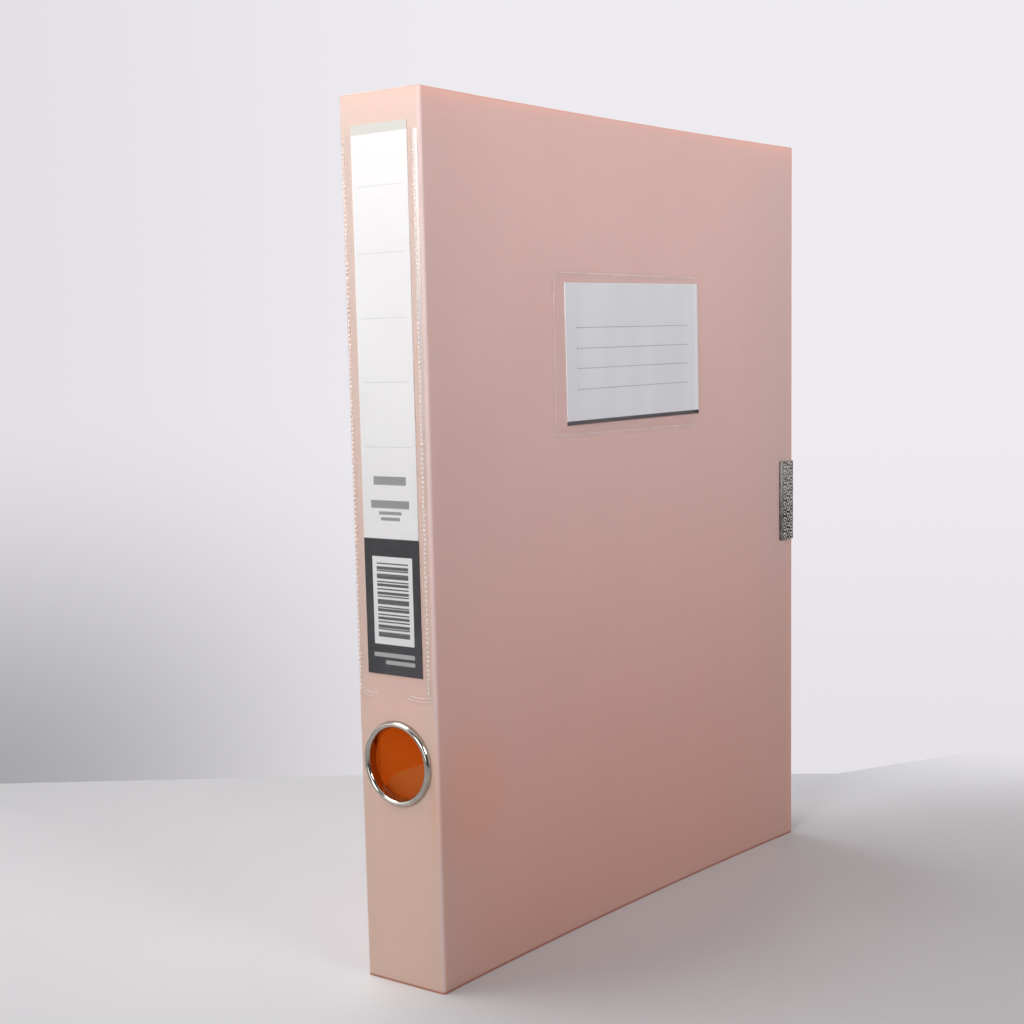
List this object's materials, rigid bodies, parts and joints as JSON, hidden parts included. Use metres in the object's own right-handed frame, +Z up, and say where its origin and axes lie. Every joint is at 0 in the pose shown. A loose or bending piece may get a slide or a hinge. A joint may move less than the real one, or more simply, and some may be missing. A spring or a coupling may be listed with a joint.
{
  "type": "file storage box",
  "caption": "Upright storage box for paper files: a folded plastic tray with a hinged spine and front cover, metal finger ring, clear label pockets and a magnetic edge clip.",
  "frame": {"origin": "middle of the bottom end wall's outer face, where the box stands", "axes": "+X from the spine to the fore-edge, -Y out of the front cover, +Z up the height"},
  "size_m": [0.2489, 0.0368, 0.308],
  "materials": {
    "plastic_sheet": "translucent sheet with a fine matt grain",
    "plated_metal": "bright nickel plate",
    "clear_film": "clear soft film",
    "label_card": "smooth white card",
    "moulded_plastic": "plain moulding",
    "magnet": "dull sintered face"
  },
  "bodies": {
    "tray": {"tray": "plastic_sheet", "magnet_holder": "moulded_plastic", "magnet_bar": "magnet", "corner_rivet_bottom": "plated_metal", "corner_rivet_top": "plated_metal", "holder_rivet_bottom": "plated_metal", "holder_rivet_top": "plated_metal"},
    "spine": {"spine_panel": "plastic_sheet", "finger_ring_front": "plated_metal", "finger_ring_back": "plated_metal", "spine_pocket_film": "clear_film", "spine_label_card": "label_card"},
    "cover": {"front_cover": "plastic_sheet", "front_pocket_film": "clear_film", "front_label_card": "label_card", "clasp_plate": "plated_metal"}
  },
  "joints": [
    {"name": "spine_hinge", "type": "hinge", "parent": "tray", "child": "spine", "pos_m": [-0.1217, 0.0167, 0.154], "axis": [0, 0, -1], "range_deg": [0, 90]},
    {"name": "cover_hinge", "type": "hinge", "parent": "spine", "child": "cover", "pos_m": [-0.1217, -0.0167, 0.154], "axis": [0, 0, -1], "range_deg": [0, 105]}
  ]
}
